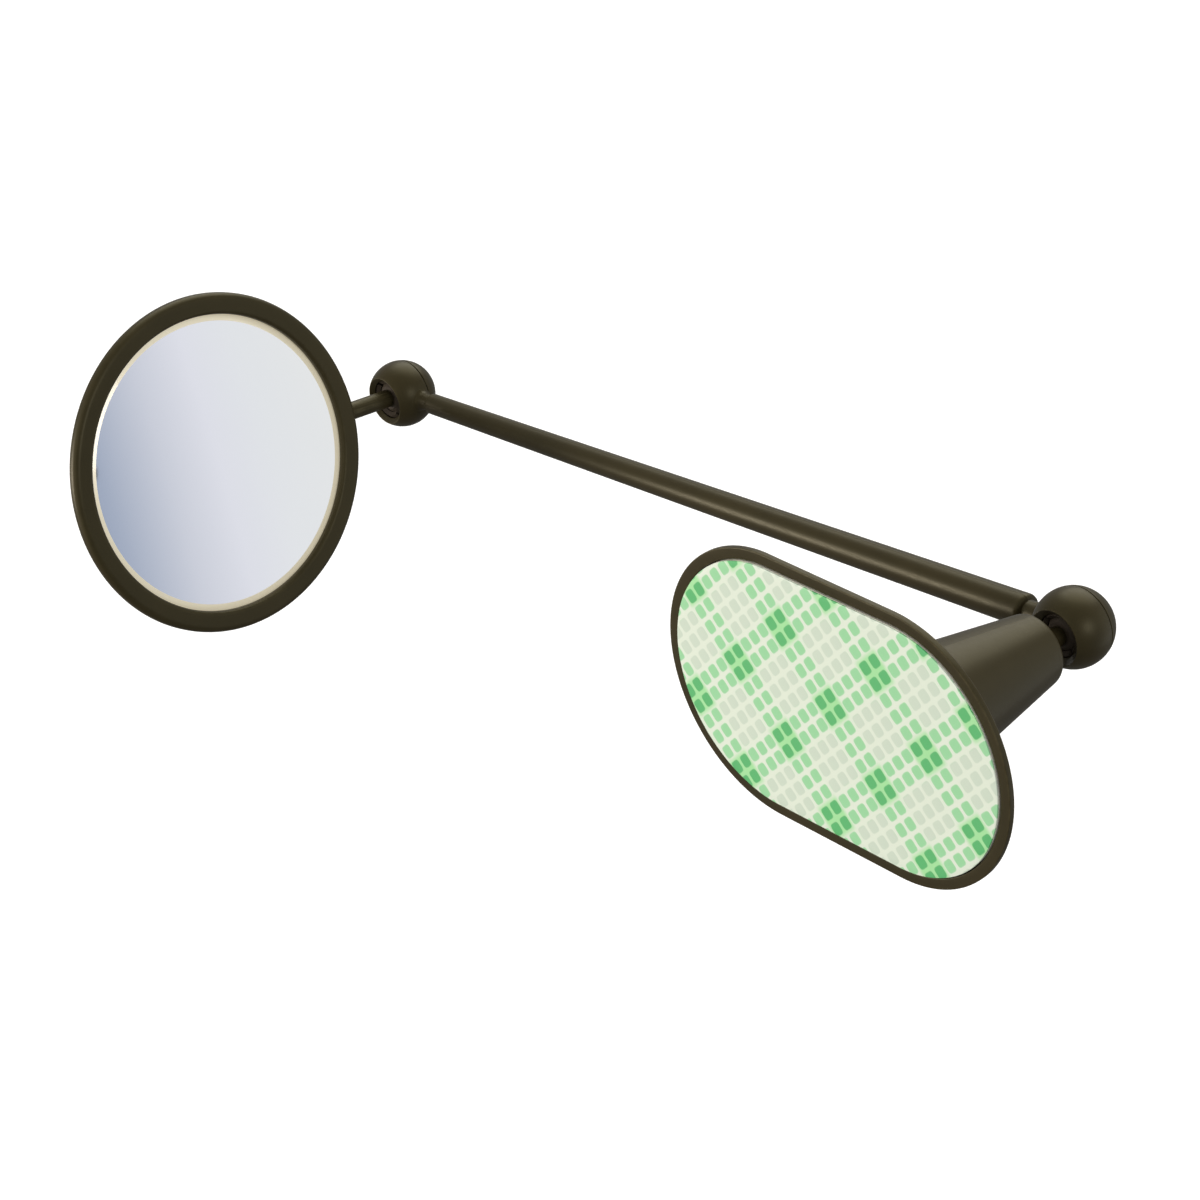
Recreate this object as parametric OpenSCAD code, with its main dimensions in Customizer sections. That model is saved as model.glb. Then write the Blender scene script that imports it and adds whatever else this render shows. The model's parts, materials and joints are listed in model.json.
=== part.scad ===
// Stick-on helmet mirror: a round mirror on a tapered arm, with a ball joint at each end.
// Frame: the origin is the centre of the release liner's outer face. +X runs along the pad
// towards the end that carries the post, +Y points out along the post, +Z points up.

/* [Adhesive pad] */
// Length of the foam tape and its liner, tip to tip
pad_length = 41; // [34:0.5:52]
// Width of the foam tape, a one inch tape
pad_width = 25.4; // [20:0.1:32]
// Thickness of the paper release liner
liner_thick = 0.15; // [0.1:0.05:0.3]
// Thickness of the foam tape
foam_thick = 0.8; // [0.6:0.1:1.6]
// How far the foam stands proud of the rim round it
foam_proud = 0.05; // [0:0.05:0.3]

/* [Base plate and post] */
// Width of the plate's rim round the tape
rim_width = 1.15; // [0.8:0.05:2.5]
// Thickness of the plate behind the tape
floor_thick = 0.9; // [0.8:0.1:2]
// Height of the rim's straight side
rim_height = 0.6; // [0.4:0.05:0.9]
// Distance that the plate's back slopes in from the rim
plate_slope = 1.4; // [0.8:0.1:1.8]
// Distance of the post from the pad's centre
post_offset = 5.65; // [0:0.05:8]
// Radius of the post where it meets the plate
post_foot_r = 6.7; // [6:0.1:9]
// Radius of the post at its outer end
post_tip_r = 3.7; // [2.8:0.1:4]
// Rounding of the post's outer end
post_round = 0.8; // [0.3:0.1:1.2]
// Height of the post above the plate
post_height = 19.45; // [14:0.05:30]
// Wall thickness of the hollow post
post_wall = 1.2; // [1:0.1:2]

/* [Ball joints] */
// Height of the base ball's centre above the post's end
ball_stand_off = 5; // [4.3:0.1:7]
// Radius of both balls
ball_r = 2.35; // [2.2:0.05:2.4]
// Gap between the ball, the cup and the socket
ball_gap = 0.1; // [0.05:0.01:0.1]
// Wall thickness of the friction cups
cup_wall = 0.5; // [0.4:0.05:0.55]
// Outer radius of the arm's base socket
base_socket_r = 3.975; // [3.9:0.025:4.2]
// Outer radius of the arm's mirror socket
mirror_socket_r = 3.775; // [3.7:0.025:4.2]
// Height of the cap's seam as a share of the socket radius
seam_share = 0.3; // [0.25:0.01:0.35]
// Half angle of the sockets' mouths, in degrees
socket_mouth = 46; // [46:1:50]
// Half angle of the friction cups' mouths, in degrees
cup_mouth = 44; // [44:1:48]
// Radius of the neck that enters each socket
neck_r = 1; // [0.9:0.05:1]

/* [Arm] */
// Distance between the two ball centres, four inches
arm_length = 101.6; // [70:0.1:140]
// Radius that the rod would have at the base ball
rod_base_r = 1.72; // [1.4:0.01:2]
// Radius that the rod would have at the mirror ball
rod_mirror_r = 1.13; // [1:0.01:1.4]
// Distance from the base ball to the rod's shoulder
base_shoulder = 5.6; // [5:0.1:8]
// Distance from the mirror ball to the rod's shoulder
mirror_shoulder = 5.3; // [5:0.1:8]

/* [Mirror head] */
// Outer radius of the bezel
head_r = 18.5; // [16:0.1:22]
// Width of the bezel's lip, seen from the front
lip_width = 2.35; // [1.8:0.05:3]
// Depth of the bezel
bezel_depth = 1.9; // [1.8:0.1:2.2]
// Depth of the whole head without its neck
head_depth = 4.8; // [4.6:0.1:6]
// Thickness of the glass at its edge
glass_thick = 1.3; // [1.2:0.1:1.5]
// Width of the bevel round the glass
glass_bevel = 1.45; // [1:0.05:2]
// Radius of the convex mirror surface
glass_curve = 400; // [250:10:1200]
// Distance from the mirror ball to the centre of the mirror
neck_reach = 27.15; // [26.5:0.05:32]
// Depth of the neck's centre line behind the bezel's front face
neck_depth = 3; // [2.9:0.05:3]

/* [Pose] */
// Angle by which the arm slopes down towards the mirror
arm_droop = 4.5; // [0:0.5:15]
// Angle by which the arm leans towards the pad's side
arm_lean = 0.2; // [0:0.1:5]
// Angle by which the head leans about the arm
head_roll = 4.7; // [0:0.1:12]
// Angle by which the mirror faces upwards, turned on its neck
head_spin = 9.7; // [0:0.1:20]

/* [Hidden] */
$fn = 96;

plastic = "#453c30";
metal = "#b9bcc0";
nylon = "#2b2823";

// Heights above the liner's outer face, out along the post.
foam_back = liner_thick + foam_thick;
rim_front = liner_thick + foam_proud;
plate_back = foam_back + floor_thick;
post_end = plate_back + post_height;
ball_height = post_end + ball_stand_off;

// Clearance between the tape and the rim round it.
tape_gap = 0.1;
plate_half_length = pad_length / 2 + tape_gap + rim_width;
plate_half_width = pad_width / 2 + tape_gap + rim_width;

// The screw that holds the post: shank, head and length in the post.
post_screw_r = 1.25;
post_screw_head_r = 2.3;
post_screw_head_depth = 0.6;
post_screw_length = 8;
core_r = 2.4;
hollow_top = plate_back + 0.72 * post_height;

// Shells of the ball joints, from the inside out.
cup_inner_r = ball_r + ball_gap;
cup_outer_r = cup_inner_r + cup_wall;
socket_inner_r = cup_outer_r + ball_gap;
cap_spigot_r = socket_inner_r + 0.3;
cap_spigot_length = 0.6;
seam_gap = 0.1;
cup_top_angle = 40;
cup_slot = 0.4;
cup_slots = 4;

// The pivot screw: shank, head, washer and the ball's flat and counterbore.
pivot_r = 0.6;
pivot_clearance = 0.04;
pivot_head_r = 1.1;
pivot_head_low = 1.32;
pivot_head_high = 2.02;
pivot_key_r = 0.55;
pivot_end = -6.2;
washer_r = 1.15;
washer_low = 1.15;
counterbore_r = 1.25;
counterbore_floor = 1.1;
ball_flat = -1.95;
neck_end = -2;

// Bosses on the sockets and the spigots of the rod that fill them.
base_boss_r = 1.2;
base_spigot_r = 0.8;
mirror_boss_r = 0.9;
mirror_spigot_r = 0.55;
shoulder_round = 0.7;

// The head, measured back from the bezel's front face.
lip_r = head_r - lip_width;
lip_thick = 0.95;
lip_round = 0.35;
bezel_round = 0.7;
skirt_inner_r = head_r - 1.08;
bezel_back_r = head_r - 0.72;
glass_r = head_r - 1.6;
pocket_r = glass_r + 0.1;
glass_front = 0.8;
bevel_depth = 0.45;
glass_back = glass_front + bevel_depth + glass_thick - 0.35;
pad_thick = 0.5;
pad_r = 15;
pocket_floor = glass_back + pad_thick;
housing_back_r = 13.2;
housing_shoulder_r = 15.6;
housing_shoulder_depth = 4.2;
housing_back_depth = head_depth;

// Points along an arc, centre, radius, first and last angle in degrees.
function arc(cx, cy, r, a0, a1, steps = 8) =
    [for (i = [0:steps]) let (a = a0 + (a1 - a0) * i / steps) [cx + r * cos(a), cy + r * sin(a)]];

// Turns a shape that is built up along +Z so that it points out along the post.
module along_post() {
    rotate([-90, 0, 0])
        children();
}

// The base ball's own place, out along the post.
module base_ball_frame() {
    translate([post_offset, ball_height, 0])
        along_post()
            children();
}

// The arm's place: the origin is the base ball, and the rod runs along -X.
module arm_frame() {
    translate([post_offset, ball_height, 0])
        rotate([0, -arm_droop, 0])
            rotate([0, 0, arm_lean])
                along_post()
                    children();
}

// The mirror ball's place in the arm, before the head leans.
module mirror_end_frame() {
    arm_frame()
        translate([-arm_length, 0, 0])
            children();
}

// The mirror ball once the head leans about the arm.
module leaning_frame() {
    mirror_end_frame()
        rotate([-head_roll, 0, 0])
            children();
}

// The head's place: the neck runs along -Z and the mirror faces +X.
module head_frame() {
    leaning_frame()
        rotate([0, 0, -head_spin])
            children();
}

// The middle of the bezel's front face, with the mirror facing +Z.
module mirror_frame() {
    head_frame()
        translate([neck_depth, 0, -neck_reach])
            rotate([0, 90, 0])
                children();
}

// A flat shape with round ends and parallel sides.
module stadium(half_length, half_width) {
    reach = half_length - half_width;
    square([2 * reach, 2 * half_width], center = true);
    for (side = [-1, 1])
        translate([side * reach, 0])
            circle(half_width);
}

// The stadium as a solid whose edge follows a section of [radius, height] points.
module stadium_solid(half_length, half_width, section) {
    reach = half_length - half_width;
    for (side = [-1, 1])
        translate([side * reach, 0, 0])
            rotate_extrude()
                polygon(section);
    across = concat(section, [for (i = [len(section) - 1:-1:0]) [-section[i].x, section[i].y]]);
    translate([-reach, 0, 0])
        rotate([90, 0, 90])
            linear_extrude(2 * reach)
                polygon(across);
}

module release_liner() {
    color("#d7ecd2")
        along_post()
            linear_extrude(liner_thick)
                stadium(pad_length / 2, pad_width / 2);
}

module foam_tape() {
    color("#efece0")
        along_post()
            translate([0, 0, liner_thick])
                linear_extrude(foam_thick)
                    stadium(pad_length / 2, pad_width / 2);
}

module base_plate() {
    section = [
        [0, rim_front],
        [plate_half_width, rim_front],
        [plate_half_width, rim_front + rim_height],
        [plate_half_width - plate_slope, plate_back],
        [0, plate_back]
    ];
    head_drop = foam_back + post_screw_head_depth;
    color(plastic)
        along_post()
            difference() {
                stadium_solid(plate_half_length, plate_half_width, section);
                translate([0, 0, rim_front - 1])
                    linear_extrude(foam_back - rim_front + 1)
                        stadium(pad_length / 2 + tape_gap, pad_width / 2 + tape_gap);
                translate([post_offset, 0, foam_back - 1])
                    cylinder(r = post_screw_r, h = floor_thick + 2);
                translate([post_offset, 0, foam_back])
                    cylinder(r1 = post_screw_head_r, r2 = post_screw_r, h = post_screw_head_depth);
            }
}

// The screw is countersunk into the plate under the tape, with a cross slot.
module post_screw() {
    color(metal)
        along_post()
            translate([post_offset, 0, 0])
                difference() {
                    union() {
                        translate([0, 0, foam_back])
                            cylinder(r1 = post_screw_head_r, r2 = post_screw_r, h = post_screw_head_depth);
                        translate([0, 0, foam_back])
                            cylinder(r = post_screw_r, h = floor_thick + post_screw_length);
                    }
                    for (turn = [0, 90])
                        translate([0, 0, foam_back])
                            rotate([0, 0, turn])
                                cube([2.4, 0.5, 0.9], center = true);
                }
}

// Outer radius of the post at a height above the plate.
function post_r(h) = post_foot_r + (post_tip_r - post_foot_r) * h / post_height;

module post() {
    outline = concat(
        [[0, 0], [post_foot_r, 0]],
        arc(post_tip_r - post_round, post_height - post_round, post_round, 0, 90),
        [[0, post_height]]
    );
    hollow_height = hollow_top - plate_back;
    color(plastic)
        along_post()
            translate([post_offset, 0, plate_back])
                difference() {
                    union() {
                        rotate_extrude()
                            polygon(outline);
                        cylinder(r = neck_r, h = ball_height + neck_end - plate_back);
                    }
                    difference() {
                        translate([0, 0, -1])
                            cylinder(
                                r1 = post_r(-1) - post_wall,
                                r2 = post_r(hollow_height) - post_wall,
                                h = hollow_height + 1
                            );
                        translate([0, 0, -2])
                            cylinder(r = core_r, h = hollow_height + 4);
                    }
                    translate([0, 0, -1])
                        cylinder(r = post_screw_r, h = post_screw_length + 1.5);
                    translate([0, 0, ball_height + pivot_end - plate_back])
                        cylinder(r = pivot_r, h = 10);
                }
}

// A small screw that runs through the ball into its neck, with a hexagon key hole.
module pivot_screw() {
    difference() {
        union() {
            translate([0, 0, pivot_end])
                cylinder(r = pivot_r, h = pivot_head_low - pivot_end);
            translate([0, 0, pivot_head_low])
                cylinder(r = pivot_head_r, h = pivot_head_high - pivot_head_low);
        }
        translate([0, 0, pivot_head_high - 0.4])
            cylinder(r = pivot_key_r, h = 1, $fn = 6);
    }
}

// The spring washer under the screw's head, which gives the ball its drag.
module spring_washer() {
    translate([0, 0, washer_low])
        difference() {
            cylinder(r = washer_r, h = pivot_head_low - washer_low);
            translate([0, 0, -1])
                cylinder(r = pivot_r, h = 3);
        }
}

// The ball turns on the pivot screw and stands on the end of the neck.
module ball() {
    difference() {
        sphere(ball_r);
        translate([0, 0, ball_flat - ball_r])
            cylinder(r = 2 * ball_r, h = ball_r);
        translate([0, 0, -2 * ball_r])
            cylinder(r = pivot_r + pivot_clearance, h = 4 * ball_r);
        translate([0, 0, counterbore_floor])
            cylinder(r = counterbore_r, h = ball_r);
    }
}

// A thin spherical cup, slotted so that it snaps over the ball.
module friction_cup() {
    reach = 2 * cup_outer_r;
    difference() {
        sphere(cup_outer_r);
        sphere(cup_inner_r);
        translate([0, 0, -reach])
            cylinder(r1 = reach * tan(cup_mouth), r2 = 0, h = reach);
        cylinder(r1 = 0, r2 = reach * tan(cup_top_angle), h = reach);
        for (turn = [0:cup_slots - 1])
            rotate([0, 0, 45 + turn * 360 / cup_slots])
                translate([0, -cup_slot / 2, -reach])
                    cube([reach, cup_slot, reach]);
    }
}

// A hollow sphere with a mouth below, a seam above for the cap, and a boss for the rod.
// side is -1 where the rod runs along -X and 1 where it runs along +X.
module socket(outer_r, boss_r, spigot_r, shoulder, side) {
    seam = seam_share * outer_r;
    reach = 2 * outer_r;
    difference() {
        union() {
            difference() {
                sphere(outer_r);
                translate([0, 0, seam - seam_gap / 2])
                    cylinder(r = reach, h = reach);
            }
            translate([side * socket_inner_r, 0, 0])
                rotate([0, side * 90, 0])
                    cylinder(r = boss_r, h = shoulder - socket_inner_r);
        }
        sphere(socket_inner_r);
        cylinder(r = socket_inner_r, h = reach);
        translate([0, 0, seam - cap_spigot_length])
            cylinder(r = cap_spigot_r, h = reach);
        translate([0, 0, -reach])
            cylinder(r1 = reach * tan(socket_mouth), r2 = 0, h = reach);
        rotate([0, side * 90, 0])
            cylinder(r = spigot_r, h = reach);
    }
}

// The dome that closes a socket, with a spigot inside the seam.
module socket_cap(outer_r) {
    seam = seam_share * outer_r;
    reach = 2 * outer_r;
    difference() {
        union() {
            difference() {
                sphere(outer_r);
                translate([0, 0, seam + seam_gap / 2 - reach])
                    cylinder(r = reach, h = reach);
            }
            translate([0, 0, seam - cap_spigot_length])
                cylinder(r = cap_spigot_r, h = cap_spigot_length + seam_gap);
        }
        sphere(socket_inner_r);
    }
}

module base_pivot_screw() {
    color(metal)
        base_ball_frame()
            pivot_screw();
}

module base_spring_washer() {
    color(metal)
        base_ball_frame()
            spring_washer();
}

module base_ball() {
    color(metal)
        base_ball_frame()
            ball();
}

module base_friction_cup() {
    color(nylon)
        arm_frame()
            friction_cup();
}

module base_socket() {
    color(plastic)
        arm_frame()
            socket(base_socket_r, base_boss_r, base_spigot_r, base_shoulder, -1);
}

module base_socket_cap() {
    color(plastic)
        arm_frame()
            socket_cap(base_socket_r);
}

// Radius of the rod at a distance from the base ball.
function rod_r(s) = rod_base_r + (rod_mirror_r - rod_base_r) * s / arm_length;

module arm_rod() {
    near = base_shoulder;
    far = arm_length - mirror_shoulder;
    near_r = rod_r(near);
    far_r = rod_r(far);
    far_round = 0.4;
    outline = concat(
        [[0, socket_inner_r + ball_gap], [base_spigot_r, socket_inner_r + ball_gap], [base_spigot_r, near]],
        arc(near_r - shoulder_round, near + shoulder_round, shoulder_round, -90, 0),
        arc(far_r - far_round, far - far_round, far_round, 0, 90),
        [[mirror_spigot_r, far], [mirror_spigot_r, arm_length - socket_inner_r - ball_gap]],
        [[0, arm_length - socket_inner_r - ball_gap]]
    );
    color(plastic)
        arm_frame()
            rotate([0, -90, 0])
                rotate_extrude()
                    polygon(outline);
}

module mirror_socket() {
    color(plastic)
        mirror_end_frame()
            socket(mirror_socket_r, mirror_boss_r, mirror_spigot_r, mirror_shoulder, 1);
}

module mirror_socket_cap() {
    color(plastic)
        mirror_end_frame()
            socket_cap(mirror_socket_r);
}

module mirror_friction_cup() {
    color(nylon)
        leaning_frame()
            friction_cup();
}

module mirror_ball() {
    color(metal)
        leaning_frame()
            ball();
}

module mirror_pivot_screw() {
    color(metal)
        head_frame()
            pivot_screw();
}

module mirror_spring_washer() {
    color(metal)
        head_frame()
            spring_washer();
}

// The back shell: a shallow dish that holds the glass, with the neck on its rim.
module mirror_housing() {
    section = [
        [0, -housing_back_depth],
        [housing_back_r, -housing_back_depth],
        [housing_shoulder_r, -housing_shoulder_depth],
        [bezel_back_r, -bezel_depth],
        [skirt_inner_r, -bezel_depth],
        [skirt_inner_r, -lip_thick - tape_gap],
        [pocket_r, -lip_thick - tape_gap],
        [pocket_r, -pocket_floor],
        [0, -pocket_floor]
    ];
    color(plastic) {
        mirror_frame()
            rotate_extrude()
                polygon(section);
        head_frame()
            difference() {
                translate([0, 0, -neck_reach + housing_back_r])
                    cylinder(r = neck_r, h = neck_reach - housing_back_r + neck_end);
                translate([0, 0, pivot_end])
                    cylinder(r = pivot_r, h = 10);
                translate([neck_depth, 0, -neck_reach])
                    rotate([0, 90, 0])
                        translate([0, 0, -pocket_floor])
                            cylinder(r = pocket_r, h = 10);
            }
    }
}

// The ring that clips over the housing and holds the glass.
module mirror_bezel() {
    outline = concat(
        [[lip_r, -lip_thick]],
        arc(lip_r + lip_round, -lip_round, lip_round, 180, 90),
        arc(head_r - bezel_round, -bezel_round, bezel_round, 90, 0),
        [[head_r, -bezel_depth + bezel_round], [bezel_back_r, -bezel_depth]],
        [[skirt_inner_r, -bezel_depth], [skirt_inner_r, -lip_thick]]
    );
    color(plastic)
        mirror_frame()
            rotate_extrude($fn = 180)
                polygon(outline);
}

module mirror_foam_pad() {
    color("#d9d4c4")
        mirror_frame()
            translate([0, 0, -pocket_floor])
                cylinder(r = pad_r, h = pad_thick);
}

// Convex mirror glass with a bevelled edge.
module mirror_glass() {
    flat_r = glass_r - glass_bevel;
    rise = glass_curve - sqrt(glass_curve * glass_curve - flat_r * flat_r);
    steps = 10;
    front = [for (i = [0:steps]) let (r = flat_r * i / steps)
        [r, -glass_front + rise - (glass_curve - sqrt(glass_curve * glass_curve - r * r))]];
    outline = concat(
        front,
        [[glass_r, -glass_front - bevel_depth], [glass_r, -glass_back], [0, -glass_back]]
    );
    color("#b4c2da")
        mirror_frame()
            rotate_extrude($fn = 180)
                polygon(outline);
}

release_liner();
foam_tape();
base_plate();
post();
post_screw();
base_pivot_screw();
base_spring_washer();
base_ball();
base_friction_cup();
base_socket();
base_socket_cap();
arm_rod();
mirror_socket();
mirror_socket_cap();
mirror_friction_cup();
mirror_ball();
mirror_pivot_screw();
mirror_spring_washer();
mirror_housing();
mirror_bezel();
mirror_foam_pad();
mirror_glass();
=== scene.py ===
"""A stick-on helmet mirror: a round convex glass on a tapered arm, with a ball joint at each end.

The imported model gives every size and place. This script turns, sweeps and dresses the pieces that
show, leaves the small parts inside the joints as they are packed, and lights a plain pale studio.
All lengths are in metres, and a value in millimetres is multiplied by MM where it is used.
"""

from __future__ import annotations

import json
import logging
import math
from collections.abc import Callable, Sequence
from dataclasses import dataclass, field
from enum import Enum

import bpy
import numpy as np
from mathutils import Matrix, Vector

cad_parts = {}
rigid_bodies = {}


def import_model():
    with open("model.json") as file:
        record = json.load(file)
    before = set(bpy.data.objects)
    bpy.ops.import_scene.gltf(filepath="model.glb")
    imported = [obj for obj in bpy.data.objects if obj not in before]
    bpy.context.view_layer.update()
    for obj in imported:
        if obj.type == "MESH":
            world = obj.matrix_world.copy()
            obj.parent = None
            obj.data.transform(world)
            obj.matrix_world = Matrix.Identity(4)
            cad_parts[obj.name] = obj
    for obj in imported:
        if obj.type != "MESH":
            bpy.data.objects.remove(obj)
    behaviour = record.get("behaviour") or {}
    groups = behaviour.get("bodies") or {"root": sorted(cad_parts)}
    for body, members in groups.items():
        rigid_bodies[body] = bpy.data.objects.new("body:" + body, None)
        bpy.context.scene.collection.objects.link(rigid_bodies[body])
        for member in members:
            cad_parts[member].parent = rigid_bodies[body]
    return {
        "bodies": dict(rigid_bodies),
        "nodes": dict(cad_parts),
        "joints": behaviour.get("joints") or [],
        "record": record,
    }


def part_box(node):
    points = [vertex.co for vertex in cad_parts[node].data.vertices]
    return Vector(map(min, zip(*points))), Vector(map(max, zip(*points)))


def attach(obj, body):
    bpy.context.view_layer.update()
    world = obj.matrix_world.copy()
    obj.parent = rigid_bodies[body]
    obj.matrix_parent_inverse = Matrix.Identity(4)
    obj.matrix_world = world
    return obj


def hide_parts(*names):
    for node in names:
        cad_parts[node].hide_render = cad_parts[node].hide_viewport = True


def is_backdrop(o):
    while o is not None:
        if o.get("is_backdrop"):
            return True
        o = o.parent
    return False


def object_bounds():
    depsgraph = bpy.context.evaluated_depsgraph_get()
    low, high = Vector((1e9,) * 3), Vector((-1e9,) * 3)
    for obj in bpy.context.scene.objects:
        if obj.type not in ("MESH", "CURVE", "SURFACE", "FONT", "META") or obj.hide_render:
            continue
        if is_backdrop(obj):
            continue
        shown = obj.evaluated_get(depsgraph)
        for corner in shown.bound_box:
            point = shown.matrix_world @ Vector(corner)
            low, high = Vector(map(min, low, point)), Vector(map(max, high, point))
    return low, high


MM = 0.001
FULL_TURN = 2.0 * math.pi
WELD_GRID = 2e-8
PAST_SIDE = 1e-6
POINT_GAP_MM = 0.9
POINT_TURN = math.radians(9.0)
LOG = logging.getLogger("helmet_mirror")

Array = np.ndarray
Point = tuple[float, float]
Tree = bpy.types.NodeTree
Socket = bpy.types.NodeSocket
Material = bpy.types.Material
Object = bpy.types.Object


class Body(Enum):
    """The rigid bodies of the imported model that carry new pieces."""

    BASE = "base"
    LINER = "liner"
    ARM = "arm"
    HEAD = "mirror_head"


class Slot(Enum):
    """The record's material slots."""

    PLASTIC = "moulded_plastic"
    NYLON = "joint_nylon"
    STEEL = "steel"
    GLASS = "mirror_glass"
    FOAM = "foam"
    PAPER = "liner_paper"


# ---------------------------------------------------------------------------------------------
# Colour and node helpers
# ---------------------------------------------------------------------------------------------


def linear(code: str) -> tuple[float, float, float, float]:
    """Turn an sRGB hex colour into the linear colour that a shader socket takes.

    Each channel c is c / 12.92 below 0.04045 and ((c + 0.055) / 1.055) to the power 2.4 above it.

    Args:
        code: The colour as "#rrggbb".

    Returns:
        Red, green, blue and an alpha of 1.
    """
    channels = np.array([int(code[i : i + 2], 16) for i in (1, 3, 5)]) / 255.0
    low = channels / 12.92
    high = ((channels + 0.055) / 1.055) ** 2.4
    red, green, blue = np.where(channels <= 0.04045, low, high)
    return (float(red), float(green), float(blue), 1.0)


def add(tree: Tree, kind: str, inputs: dict, **settings: object) -> bpy.types.Node:
    """Add one node with its settings, its values and its links.

    Args:
        tree: The node tree that takes the node.
        kind: The node's type, such as "ShaderNodeMix".
        inputs: Socket name or index to a value, or to the output socket that feeds it.
        settings: The node's own properties.

    Returns:
        The new node.
    """
    made = tree.nodes.new(kind)
    for name, value in settings.items():
        setattr(made, name, value)
    for name, value in inputs.items():
        if isinstance(value, Socket):
            tree.links.new(value, made.inputs[name])
        else:
            made.inputs[name].default_value = value
    return made


def per_metre(size_mm: float) -> float:
    """Return the texture scale whose features are size_mm across, in Object coordinates."""
    return 1.0 / (size_mm * MM)


def mapped(tree: Tree, place: Socket, **changes: Sequence[float]) -> Socket:
    """Turn or stretch coordinates by the Mapping node's Rotation and Scale."""
    return add(tree, "ShaderNodeMapping", {"Vector": place, **changes}).outputs["Vector"]


def noise(
    tree: Tree, place: Socket, size_mm: float, detail: float, roughness: float = 0.5
) -> Socket:
    """Add cloudy noise.

    Args:
        tree: The node tree.
        place: The coordinates that it reads.
        size_mm: The size of its features.
        detail: How many finer layers it has.
        roughness: How strong the finer layers are.

    Returns:
        The noise, from 0 to 1.
    """
    inputs = {"Vector": place, "Scale": per_metre(size_mm), "Detail": detail, "Roughness": roughness}
    return add(tree, "ShaderNodeTexNoise", inputs).outputs["Fac"]


def blend(tree: Tree, factor: Socket, low: str | Socket, high: str | Socket) -> Socket:
    """Blend two colours.

    Args:
        tree: The node tree.
        factor: 0 for the first colour and 1 for the second.
        low: The first colour, as sRGB hex or a socket.
        high: The second colour.

    Returns:
        The blended colour.
    """
    ends = [linear(end) if isinstance(end, str) else end for end in (low, high)]
    inputs = {"Factor": factor, "A": ends[0], "B": ends[1]}
    return add(tree, "ShaderNodeMix", inputs, data_type="RGBA").outputs["Result"]


def remap(
    tree: Tree, value: Socket, source: Point, target: Point = (0.0, 1.0), easing: str = "LINEAR"
) -> Socket:
    """Carry a value from one range to another and hold it at the ends.

    Args:
        tree: The node tree.
        value: The value.
        source: The range that it comes from.
        target: The range that it goes to.
        easing: The curve between the ends.

    Returns:
        The new value.
    """
    names = ("From Min", "From Max", "To Min", "To Max")
    inputs = {"Value": value, **dict(zip(names, source + target))}
    return add(tree, "ShaderNodeMapRange", inputs, interpolation_type=easing).outputs["Result"]


def maths(tree: Tree, operation: str, *values: float | Socket) -> Socket:
    """Work out one sum from two or three values, with Blender's name for the operation."""
    return add(tree, "ShaderNodeMath", dict(enumerate(values)), operation=operation).outputs[0]


def raised(tree: Tree, height: Socket, strength: float, depth_mm: float) -> Socket:
    """Tilt the surface's normal as if it were raised by height, up to depth_mm."""
    inputs = {"Height": height, "Strength": strength, "Distance": depth_mm * MM}
    return add(tree, "ShaderNodeBump", inputs).outputs["Normal"]


def ramp(tree: Tree, factor: Socket, tones: Sequence[tuple[float, str]]) -> Socket:
    """Colour a value by a row of tones.

    Args:
        tree: The node tree.
        factor: The value, from 0 to 1.
        tones: Place and sRGB hex colour of each tone, from 0 to 1.

    Returns:
        The colour.
    """
    made = add(tree, "ShaderNodeValToRGB", {"Fac": factor})
    stops = made.color_ramp.elements
    for place, tone in tones[1:-1]:
        stops.new(place).color = linear(tone)
    stops[0].color = linear(tones[0][1])
    stops[len(stops) - 1].color = linear(tones[-1][1])
    return made.outputs["Color"]


def linked(name: str, data: bpy.types.ID) -> Object:
    """Put data into a new object at the origin of the scene.

    Args:
        name: The object's name.
        data: Its mesh, light or camera.

    Returns:
        The object.
    """
    made = bpy.data.objects.new(name, data)
    bpy.context.scene.collection.objects.link(made)
    return made


# ---------------------------------------------------------------------------------------------
# Finishes
# ---------------------------------------------------------------------------------------------


@dataclass(frozen=True)
class Finish:
    """A named material. Its subclasses say what it is made of and how its surface was made."""

    name: str

    def build(self) -> Material:
        """Make the material.

        Returns:
            The material, with its shader joined to the output.
        """
        material = bpy.data.materials.new(self.name)
        material.use_nodes = True
        tree = material.node_tree
        tree.nodes.clear()
        place = add(tree, "ShaderNodeTexCoord", {}).outputs["Object"]
        add(tree, "ShaderNodeOutputMaterial", {"Surface": self.shader(tree, place)})
        return material

    def shader(self, tree: Tree, place: Socket) -> Socket:
        """Add the shader, which shows a surface unless a subclass has its own."""
        return add(tree, "ShaderNodeBsdfPrincipled", self.surface(tree, place)).outputs["BSDF"]

    def surface(self, tree: Tree, place: Socket) -> dict:
        """Add the nodes of the surface's patterns; each subclass has its own.

        Args:
            tree: The material's tree.
            place: The Object coordinates that the patterns read.

        Returns:
            The surface shader's values and links, by socket name.
        """
        raise NotImplementedError


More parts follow.
